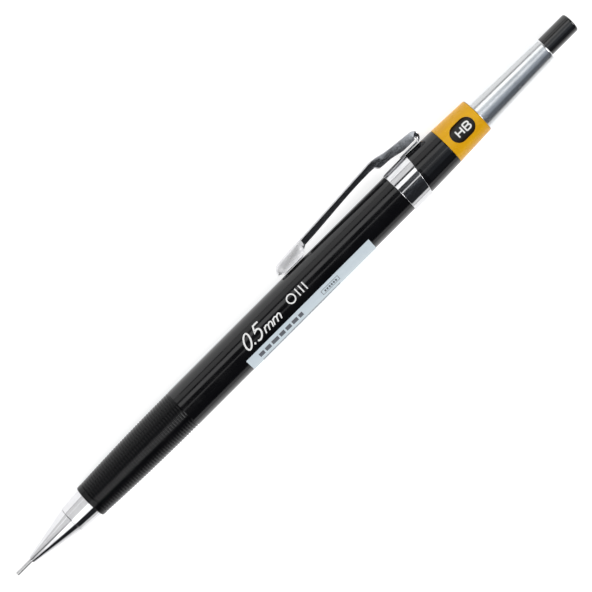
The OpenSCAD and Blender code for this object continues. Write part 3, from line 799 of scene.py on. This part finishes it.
def build_print():
    """The lead size in slanted signs, and a plain mark of a circle and three bars."""
    tall = 2.8
    low = -tall / 2 + 0.05
    slant = 0.42
    size_z = 59.4
    unit_z = 64.35
    mark_z = 72.0
    mark_r = 0.85
    size = words("0.5", tall, 1.5, 0.25, size_z, low, slant)
    unit = words("mm", 1.15 / SMALL_LETTER, 1.3, 0.42, unit_z, low, slant)
    mark = [arc_line(mark_z, 0.0, mark_r, mark_r, 90, 450, 24)]
    mark += [[(mark_z + step, -mark_r), (mark_z + step, mark_r)] for step in (1.7, 2.6, 3.5)]
    rows = (("size_print", size, 0.34), ("unit_print", unit, 0.27), ("mark_print", mark, 0.26))
    for name, lines, width in rows:
        printed(name, lines, width, BARREL_R, PANEL_TURN, 0, WHITE_INK, "body")


# ---------------------------------------------------------------- paper label

LABEL_FROM = 119
LABEL_TO = 249
LABEL_T = 0.08
LABEL_UNDER = 0.003
LABEL_WAVE = 0.006


def build_label():
    """The paper's two sides and its edges, then what is printed on it."""
    stations = spaced(LABEL_Z, LABEL_END, 0.5)
    turns = [math.radians(a) for a in spaced(LABEL_FROM, LABEL_TO, 1.6)]
    points = []
    for lift, wave in ((LABEL_T, LABEL_WAVE), (LABEL_UNDER, 0)):
        for z in stations:
            for a in turns:
                r = BARREL_R + lift + wave * math.sin(z * 0.9) * math.sin(a * 5)
                points.append((r * math.cos(a), r * math.sin(a), z))
    wide = len(turns)
    tall = len(stations)
    under = wide * tall
    faces = []
    for i in range(tall - 1):
        for k in range(wide - 1):
            p = i * wide + k
            faces.append((p, p + 1, p + 1 + wide, p + wide))
            faces.append((under + p, under + p + wide, under + p + 1 + wide, under + p + 1))
    for i in range(tall - 1):
        for k in (0, wide - 1):
            p = i * wide + k
            faces.append((p, p + wide, under + p + wide, under + p))
    for k in range(wide - 1):
        for i in (0, tall - 1):
            p = i * wide + k
            faces.append((p, under + p, under + p + 1, p + 1))
    emit("label_sheet", points, faces, PAPER, "body", ["paper_label"])
    build_label_print()


def build_label_print():
    """Rows of plain blocks, a small box and lines, where the real label has its text."""
    random.seed(11)
    blocks = []
    u = LABEL_Z + 2.5
    for _ in range(7):
        long = 0.8 + 0.9 * random.random()
        blocks += [[(u, -0.95 - 0.2 * k), (u + long, -0.95 - 0.2 * k)] for k in range(5)]
        u += long + 0.38
    near = 76.8
    far = 81.0
    top_v = -0.75
    low_v = -1.9
    box = [(near, top_v), (far, top_v), (far, low_v), (near, low_v), (near, top_v)]
    middle_v = -1.33
    dash_l = 0.35
    dashes = [[(u, middle_v), (u + dash_l, middle_v)] for u in spaced(77.4, 80.15, 0.55)]
    line_v = -3.2
    line_pitch = 0.9
    lines = []
    for i in range(4):
        v = line_v - line_pitch * i
        lines.append([(60.5, v), (80.5 - 3.0 * i, v)])
    rows = (
        ("label_bars", blocks, 0.22),
        ("label_box", [box], 0.1),
        ("label_box_bars", dashes, 0.5),
        ("label_lines", lines, 0.3),
    )
    top = BARREL_R + LABEL_T + 0.004
    for name, strokes, width in rows:
        printed(name, strokes, width, top, LABEL_FROM, 0, GREY_INK, "body")


# ---------------------------------------------------------------- clip

SHEET = 0.38
BEND_R = 1.25
ARM_Z = PAD_Z + 7.1
ARCH_X = 8.1
PAD_X = 7.0
TONGUE_W = 2.6
TONGUE_LOW = BARREL_R + 0.03
BEND_X = TONGUE_LOW + BEND_R
CLIP_EDGE = 0.04
BEND_TURN = 173
BEND_STEPS = 36


def build_band():
    """The band round the barrel with its slanted rear edge, and the tongue back to the bend."""
    slant = 1.3 / (2 * BAND_R)
    rows = soften([
        (BARREL_R, BAND_Z, 0.03),
        (BAND_R, BAND_Z, 0.1),
        (BAND_R, TAPER_Z, 0.1),
        (BARREL_R, TAPER_Z, 0.03),
    ])
    length = TAPER_Z - BAND_Z

    def slanted(r, z, a):
        back = (BAND_R - r * math.cos(math.radians(a))) * slant
        return r, z - back * max(0.0, (z - BAND_Z) / length)

    points, faces = lathe(rows, ring_angles(160), reshape=slanted)
    emit("clip_ring", points, faces, CLIP_CHROME, "body", ["clip_band"])
    half = TONGUE_W / 2
    high = TONGUE_LOW + SHEET
    corners = ((half, TONGUE_LOW), (half, high), (-half, high), (-half, TONGUE_LOW))
    section = [(x, y) for y, x in soften([(y, x, 0.09) for y, x in corners], steps=3)]
    stations = [TAPER_Z - 1.0, TAPER_Z, BEND_Z - 1.0, BEND_Z]
    points = [(x, y, z) for z in stations for x, y in section]
    faces = loft(len(stations), len(section))
    emit("clip_tongue", points, faces, CLIP_CHROME, "body", ())


def clip_section(half, top, low, floor, crown, shoulder):
    """The clip's cross-section as (across, height) points: a folded channel over a floor height."""
    side = min(shoulder, half * 0.7)
    outer = []
    for share in (0.0, 0.3, 0.6, 0.85):
        y = (half - side) * share
        outer.append((y, top - crown * (y / half) ** 2))
    knee = top - crown * ((half - side) / half) ** 2
    for k in range(6):
        turn = math.radians(90 - 90 * k / 5)
        outer.append((half - side + side * math.cos(turn), knee - side + side * math.sin(turn)))
    edge = CLIP_EDGE
    bottom = min(low, knee - side - 0.1)
    outer += [(half, bottom + edge * 2), (half, bottom + edge), (half - edge * 0.6, bottom)]
    inner_half = half - SHEET
    inner = [(inner_half + edge * 0.6, bottom), (inner_half, bottom + edge)]
    inner_top = max(bottom, min(floor, knee - SHEET))
    for share in (1.0, 0.95, 0.7, 0.35, 0.0):
        drop = crown * (share * inner_half / half) ** 2
        shape = inner_top - drop if floor > bottom else inner_top
        inner.append((inner_half * share, shape if share < 1 else min(shape, inner_top - 0.1)))
    half_loop = outer + inner
    mirrored = [(-y, x) for y, x in reversed(half_loop[1:-1])]
    return half_loop + mirrored


def build_clip():
    """The arm and pad as one lofted channel, from the pad's end to the last of the bend."""
    # heights of the sheet's top and of its folded sides' lower edges, from the pencil's axis
    top_line = smooth_line([
        (PAD_Z, PAD_X - 1.55), (PAD_Z + 0.35, PAD_X - 0.85), (PAD_Z + 1.2, PAD_X - 0.4),
        (PAD_Z + 3, PAD_X - 0.2), (ARM_Z, PAD_X), (BAND_Z - 1.2, ARCH_X - 0.06),
        (BAND_Z - 0.2, ARCH_X), (BAND_Z + 1.0, ARCH_X - 0.22), (BAND_Z + 3.6, ARCH_X - 0.8),
        (TAPER_Z + 0.4, BEND_X + BEND_R + 0.32), (BEND_Z, BEND_X + BEND_R),
    ])
    low_line = smooth_line([
        (PAD_Z, PAD_X - 1.75), (PAD_Z + 0.5, BARREL_R + 0.6), (PAD_Z + 1.4, BARREL_R + 0.16),
        (ARM_Z - 1.7, BARREL_R + 0.16), (ARM_Z - 0.9, BARREL_R + 0.5), (ARM_Z + 0.4, PAD_X - 1.5),
        (ARM_Z + 1.2, PAD_X - 1.46),
        (BAND_Z - 1.2, ARCH_X - 1.5), (BAND_Z, ARCH_X - 1.55), (BAND_Z + 0.7, ARCH_X - 2.3),
        (BAND_Z + 3.4, ARCH_X - 2.55), (TAPER_Z + 1.2, BEND_X - 0.48), (BEND_Z, BEND_X - 0.48),
    ])
    # half the width, the radius of the top's edges, how far the sides lean in, how far the top is domed
    half_line = smooth_line([
        (PAD_Z, 0.75), (PAD_Z + 0.5, 1.25), (PAD_Z + 1.6, 1.62), (ARM_Z - 2, 1.65),
        (ARM_Z, 1.22), (BAND_Z - 1.2, 2.03), (BEND_Z + 0.75, 2.05), (BEND_Z + 1.25, 1.7),
    ])
    shoulder_line = smooth_line([
        (PAD_Z, 0.5), (ARM_Z - 0.8, 0.5), (ARM_Z + 0.4, 0.3), (BAND_Z - 0.2, 0.3), (BAND_Z + 0.8, 0.16),
        (BEND_Z, 0.16),
    ])
    lean_line = smooth_line([(PAD_Z, 0.45), (PAD_Z + 1.4, 0.55), (ARM_Z - 1.4, 0.5), (ARM_Z + 0.35, 0.0)])
    crown_line = smooth_line([
        (PAD_Z, 0.3), (PAD_Z + 3, 0.32), (ARM_Z, 0.14), (BAND_Z, 0.1), (BAND_Z + 2, 0.03), (BEND_Z, 0.02),
    ])
    sections = []
    stations = spaced(PAD_Z, PAD_Z + 1.2, 0.1) + spaced(PAD_Z + 1.4, ARM_Z + 0.3, 0.22)
    stations += spaced(ARM_Z + 0.42, ARM_Z + 0.5, 0.08) + spaced(ARM_Z + 1.2, BAND_Z - 1.4, 0.9)
    stations += spaced(BAND_Z - 1.2, BAND_Z + 1.6, 0.14) + spaced(BAND_Z + 1.9, BEND_Z, 0.35)
    for z in stations:
        top = top_line(z)
        low = low_line(z)
        floor = -1.0 if z < ARM_Z + 0.4 else top - SHEET
        loop = clip_section(half_line(z), top, low, floor, crown_line(z), shoulder_line(z))
        lean = lean_line(z)
        section = []
        for y, x in loop:
            share = min(1.0, max(0.0, (x - low) / (top - low)))
            section.append((x, y * (1 - lean * share * (0.4 + 0.6 * share)), z))
        sections.append(section)
    bend_in = BEND_R - SHEET
    # round the bend, by degrees: the sides' lower edges from the bend's centre, and half the width
    bend_low = smooth_line([(0, -0.48), (12, 0.05), (95, 0.05), (145, bend_in), (BEND_TURN, bend_in)])
    bend_half = smooth_line([(0, 2.05), (55, 2.04), (90, 1.88), (125, 1.45), (BEND_TURN, TONGUE_W / 2)])
    for i in range(1, BEND_STEPS + 1):
        turn = BEND_TURN * i / BEND_STEPS
        loop = clip_section(bend_half(turn), BEND_R, bend_low(turn), bend_in, 0.02, 0.16)
        way = math.radians(turn)
        sections.append([
            (BEND_X + rho * math.cos(way), y, BEND_Z + rho * math.sin(way)) for y, rho in loop
        ])
    points = [p for section in sections for p in section]
    faces = loft(len(sections), len(sections[0]))
    emit("clip_spring", points, faces, CLIP_CHROME, "clip", ["clip_arm"], crease=40)


# ---------------------------------------------------------------- lead-grade ring

DRUM_R = 3.3
RING_BORE = 3.35
RING_FRONT_R = 3.98
RING_REAR_R = 3.68
WINDOW_L = 5.4
WINDOW_W = 3.5
GRADES = ("HB", "B", "2B", "F", "H", "2H")


def build_drum():
    """The drum under the ring, with a grade every sixth of a turn."""
    rows = soften([
        (NECK_R, start_of("grade_drum"), 0),
        (DRUM_R, start_of("grade_drum"), 0.06),
        (DRUM_R, end_of("grade_drum"), 0.06),
        (NECK_R, end_of("grade_drum"), 0),
    ])
    points, faces = lathe(rows, ring_angles(120))
    emit("drum", points, faces, DRUM_BLACK, "body", ["grade_drum"])
    station = (RING_Z + RING_END) / 2 + 0.25
    tall = 1.46
    wide = 1.2
    gap = 0.6
    for i, grade in enumerate(GRADES):
        name = "grade_" + str(i)
        turn = 90 + 360 / len(GRADES) * i
        length = len(grade) * wide + (len(grade) - 1) * gap
        lines = words(grade, tall, wide, gap, -length / 2, -tall / 2)
        printed(name, lines, 0.31, DRUM_R, turn, station, WHITE_INK, "body")


def build_ring():
    """The yellow ring, with its window cut through the wall and flared at the surface."""
    rows = soften([
        (RING_BORE, RING_Z, 0.03),
        (RING_FRONT_R, RING_Z, 0.1),
        (RING_REAR_R, RING_END, 0.1),
        (RING_BORE, RING_END, 0.03),
    ])
    points, faces = lathe(rows, ring_angles(192))
    ring = emit("ring_shell", points, faces, YELLOW, "grade_ring", ["grade_ring"])
    middle = (RING_Z + RING_END) / 2
    half = (WINDOW_L - WINDOW_W) / 2
    outline = arc_line(half, 0, WINDOW_W / 2, WINDOW_W / 2, -90, 90, 24)
    outline += arc_line(-half, 0, WINDOW_W / 2, WINDOW_W / 2, 90, 270, 24)
    same = 1e-6
    steps = zip(outline, [None] + outline)
    outline = [p for p, last in steps if last is None or (Vector(p) - Vector(last)).length > same]
    levels = ((-1.5, 0.0), (-0.1, 0.0), (-0.05, 0.012), (-0.012, 0.05), (0.03, 0.12), (0.8, 0.3))
    cutter_points = []
    for level, grow in levels:
        for u, v in outline:
            way = Vector((u - max(-half, min(half, u)), v)).normalized()
            z = u + way.x * grow
            x = v + way.y * grow
            share = (z + middle - RING_Z) / (RING_END - RING_Z)
            skin = RING_FRONT_R + (RING_REAR_R - RING_FRONT_R) * share
            y = math.sqrt(skin * skin - x * x) + level
            cutter_points.append((x, y, middle + z))
    mesh = bpy.data.meshes.new("window_cutter")
    mesh.from_pydata([to_row(*p) for p in cutter_points], [], loft(len(levels), len(outline)))
    work = bmesh.new()
    work.from_mesh(mesh)
    bmesh.ops.recalc_face_normals(work, faces=work.faces)
    work.to_mesh(mesh)
    work.free()
    cutter = bpy.data.objects.new("window_cutter", mesh)
    bpy.context.scene.collection.objects.link(cutter)
    cut = ring.modifiers.new("window", "BOOLEAN")
    cut.operation = "DIFFERENCE"
    cut.solver = "EXACT"
    cut.object = cutter
    shape = bpy.data.meshes.new_from_object(ring.evaluated_get(bpy.context.evaluated_depsgraph_get()))
    ring.modifiers.clear()
    ring.data = shape
    shape.shade_smooth()
    shape.set_sharp_from_angle(angle=math.radians(28))
    bpy.data.objects.remove(cutter)


# ---------------------------------------------------------------- sleeve, button, eraser


def build_sleeve():
    """The tapering sleeve, hollow over the barrel's neck and narrow at the button's mouth."""
    front_r = radius_of("rear_sleeve")
    rear_r = 2.92
    mouth_r = 2.07
    mouth_z = BUTTON_Z - 4
    hollow_r = 2.32
    rows = soften([
        (NECK_R, SLEEVE_Z, 0),
        (front_r, SLEEVE_Z, 0.09),
        (rear_r, BUTTON_Z, 0.62),
        (mouth_r, BUTTON_Z, 0.07),
        (mouth_r, mouth_z, 0),
        (hollow_r, mouth_z, 0),
        (hollow_r, NECK_END, 0),
        (NECK_R, NECK_END, 0),
    ], steps=7)
    points, faces = lathe(rows, ring_angles(160))
    emit("sleeve", points, faces, SATIN, "body", ["rear_sleeve"])


def build_button():
    """The push button, a cup with a thick end."""
    r = 2.0
    bore = 1.64
    low = start_of("push_button")
    floor = END_Z - 1.4
    rows = soften([
        (bore, low, 0),
        (r, low, 0.1),
        (r, END_Z, 0.42),
        (0.0, END_Z, 0),
    ], closed=False, steps=7)
    inner = [(0.0, floor), (bore, floor)]
    points, faces = lathe(rows + inner, ring_angles(96))
    emit("button", points, faces, BUTTON_BLACK, "cap", ["push_button"])


def build_eraser():
    """The eraser, its top worn down on one side."""
    low = start_of("eraser")
    high = end_of("eraser")
    r = radius_of("eraser")
    worn_l = 0.6
    worn_depth = 0.12
    worn_turn = 40
    rows = soften([(0.0, low, 0), (r, low, 0.05), (r, high, 0.3), (0.0, high, 0)], closed=False, steps=7)

    def worn(radius, z, a):
        tilt = max(0.0, (z - high + worn_l) / worn_l)
        return radius, z - worn_depth * tilt * (1 + math.cos(math.radians(a - worn_turn)) * radius / r) / 2

    points, faces = lathe(rows, ring_angles(72), closed=False, reshape=worn)
    emit("eraser_stick", points, faces, ERASER_WHITE, "eraser", ["eraser"])


def build_cup():
    """The eraser's drawn metal cup with its flange."""
    low = start_of("eraser_cup")
    high = end_of("eraser_cup")
    r = 1.21
    bore = 1.09
    flange_r = 1.6
    flange_z = high - 0.4
    pin_hole = 0.2
    floor = low + 0.25
    rows = soften([
        (pin_hole, low, 0),
        (r, low, 0.1),
        (r, flange_z, 0),
        (flange_r, flange_z, 0.08),
        (flange_r, high, 0.08),
        (bore, high, 0.05),
        (bore, floor, 0),
        (pin_hole, floor, 0),
    ])
    points, faces = lathe(rows, ring_angles(72))
    emit("cup", points, faces, STEEL, "eraser", ["eraser_cup"])


def build_pin():
    """The wire that clears the chuck, with its round head in the cup."""
    low = start_of("clean_out_pin")
    high = end_of("clean_out_pin")
    r = 0.2
    head_r = 0.98
    head_z = high - 0.3
    rows = soften([
        (0.0, low, 0),
        (r, low, 0.08),
        (r, head_z, 0),
        (head_r, head_z, 0.05),
        (head_r, high, 0.05),
        (0.0, high, 0),
    ], closed=False)
    points, faces = lathe(rows, ring_angles(32), closed=False)
    emit("needle", points, faces, STEEL, "eraser", ["clean_out_pin"])


def build_lead():
    """The lead in use, from the pipe's mouth back into the chuck."""
    low = start_of("writing_lead")
    high = end_of("writing_lead")
    r = radius_of("writing_lead")
    rows = soften([(0.0, low, 0), (r, low, 0.04), (r, high, 0.02), (0.0, high, 0)], closed=False)
    points, faces = lathe(rows, ring_angles(32), closed=False)
    emit("lead_stick", points, faces, GRAPHITE, "lead", ["writing_lead"])


# ---------------------------------------------------------------- floor, light, camera

MIDDLE = ALONG * 0.073
FLOOR_HALF = 2.5
FLOOR_GLOW = 0.78
CAMERA_WAY = 0.5
CAMERA_LENS = 164.0
CAMERA_SENSOR = 36.0
CAMERA_SWING = 44.95


def build_floor():
    """A wide pale floor under the pencil, with a glow that keeps it even."""
    p = Paint("floor_pale")
    grain = p.noise(p.mm, 0.02, 3.0)
    p.colour(p.blend(p.spread(grain, 0.3, 0.7, 0.0, 1.0), (0.56, 0.56, 0.56), (0.54, 0.54, 0.54)))
    p.rough(p.spread(grain, 0.3, 0.7, 0.85, 0.95))
    p.set(Emission_Color=(1.0, 1.0, 1.0, 1.0), Emission_Strength=FLOOR_GLOW)
    mesh = bpy.data.meshes.new("floor")
    corners = ((-1, -1), (1, -1), (1, 1), (-1, 1))
    mesh.from_pydata([(x * FLOOR_HALF, y * FLOOR_HALF, TABLE) for x, y in corners], [], [(0, 1, 2, 3)])
    mesh.materials.append(p.material)
    floor = bpy.data.objects.new("floor", mesh)
    bpy.context.scene.collection.objects.link(floor)


def way_from_face(turn, lean=0.0):
    """Direction turned from the camera's side towards the clip side, then leaned to the button."""
    across = FACE * math.cos(math.radians(turn)) + CLIP * math.sin(math.radians(turn))
    return (across * math.cos(math.radians(lean)) + ALONG * math.sin(math.radians(lean))).normalized()


def soft_light(name, turn, lean, distance, wide, tall, glow, tint=(1.0, 1.0, 1.0)):
    """A soft rectangular light that faces the pencil, wide along it and tall round it.

    Turn and lean are in degrees, lengths in metres, and glow is how bright its face looks.
    """
    data = bpy.data.lights.new(name, "AREA")
    data.shape = "RECTANGLE"
    data.size = wide
    data.size_y = tall
    data.energy = glow * math.pi * wide * tall
    data.color = tint
    lamp = bpy.data.objects.new(name, data)
    back = way_from_face(turn, lean)
    right = (ALONG - back * ALONG.dot(back)).normalized()
    lamp.location = MIDDLE + back * distance
    lamp.rotation_euler = axes_to_euler(right, back.cross(right), back)
    bpy.context.scene.collection.objects.link(lamp)


def axes_to_euler(right, up, back):
    """Euler angles of the frame with those three axes."""
    return Matrix((right, up, back)).transposed().to_euler()


def build_lights():
    """Banks and strips that show as bands on the round pieces, two fills, and a dark room."""
    # turn, lean, distance, wide, tall, glow, tint
    soft_light("side_bank", 56.5, 0, 0.85, 2.0, 0.41, 0.9)
    soft_light("key_strip", 24.5, 14, 0.75, 0.61, 0.25, 1.5)
    soft_light("fine_strip", -10, 0, 0.75, 1.6, 0.07, 0.95)
    soft_light("nose_fill", 22.5, -22, 0.68, 0.29, 0.51, 0.92)
    soft_light("tip_bank", -21.5, -22, 0.70, 0.29, 0.54, 1.6)
    soft_light("low_bank", -97, -4, 0.60, 1.6, 0.19, 0.85)
    soft_light("sleeve_top", -4, 14, 0.70, 0.16, 0.46, 0.8, (0.9, 0.95, 1.0))
    soft_light("sleeve_mid", -33.5, 14, 0.70, 0.16, 0.285, 0.42, (0.78, 0.87, 1.0))
    soft_light("sleeve_low", -62, 14, 0.70, 0.16, 0.43, 0.12, (0.75, 0.85, 1.0))
    soft_light("rear_fill", -33, 52, 0.80, 0.36, 0.36, 7.0)
    soft_light("front_fill", -33, -56, 0.80, 0.36, 0.36, 7.0)
    world = bpy.data.worlds.new("room")
    world.use_nodes = True
    room = world.node_tree.nodes["Background"]
    room.inputs["Color"].default_value = (0.02, 0.021, 0.024, 1)
    room.inputs["Strength"].default_value = 1.0
    bpy.context.scene.world = world
    bpy.context.scene.view_settings.view_transform = "Standard"
    bpy.context.scene.view_settings.exposure = 0.0


def build_camera():
    """A long lens straight over the pencil, which lies across the picture's diagonal."""
    swing = math.radians(CAMERA_SWING)
    right = ALONG * math.cos(swing) - CLIP * math.sin(swing)
    up = ALONG * math.sin(swing) + CLIP * math.cos(swing)
    data = bpy.data.cameras.new("camera")
    data.sensor_width = CAMERA_SENSOR
    data.lens = CAMERA_LENS
    data.clip_start = 0.01
    camera = bpy.data.objects.new("camera", data)
    camera.location = MIDDLE + FACE * CAMERA_WAY
    camera.rotation_euler = axes_to_euler(right, up, FACE)
    bpy.context.scene.collection.objects.link(camera)
    bpy.context.scene.camera = camera


# ---------------------------------------------------------------- build

# CAD nodes inside the pencil, whose shape is right as it is, and their paints
HIDDEN_PAINTS = {
    "lead_retainer": RUBBER_DARK,
    "chuck_ring": BRASS,
    "chuck": BRASS,
    "chuck_housing": BRASS,
    "return_spring": WIRE,
    "tube_joint": JOINT_BLACK,
    "lead_tube": TUBE_WHITE,
    "spare_leads": GRAPHITE,
}

build_pipe()
build_cone()
build_collar()
build_barrel()
build_print()
build_label()
build_band()
build_clip()
build_drum()
build_ring()
build_sleeve()
build_button()
build_eraser()
build_cup()
build_pin()
build_lead()

for node_name, paint in HIDDEN_PAINTS.items():
    cad = frame["nodes"][node_name]
    for place in cad.material_slots:
        place.material = paint

build_floor()
build_lights()
build_camera()
